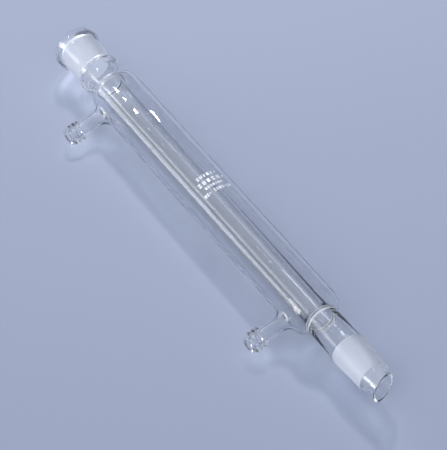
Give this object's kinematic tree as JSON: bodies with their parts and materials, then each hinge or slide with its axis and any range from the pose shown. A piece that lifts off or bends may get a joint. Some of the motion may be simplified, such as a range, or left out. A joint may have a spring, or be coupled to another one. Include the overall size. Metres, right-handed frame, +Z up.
{
  "type": "liebig condenser",
  "caption": "Straight jacketed glass condenser with a ground socket, a ground cone with a slanted drip tip, and threaded side arms for cooling water.",
  "frame": {"origin": "on the plane the condenser lies on, under the middle of its bounds", "axes": "+X along the tube from the socket's mouth to the drip tip, +Z up, and the side arms point to -Y and droop to the plane"},
  "size_m": [0.289, 0.0494, 0.027],
  "materials": {
    "glass": "clear borosilicate glass, fire polished, with a matt ground socket and cone"
  },
  "bodies": {
    "root": {"condenser": "glass"}
  },
  "joints": []
}
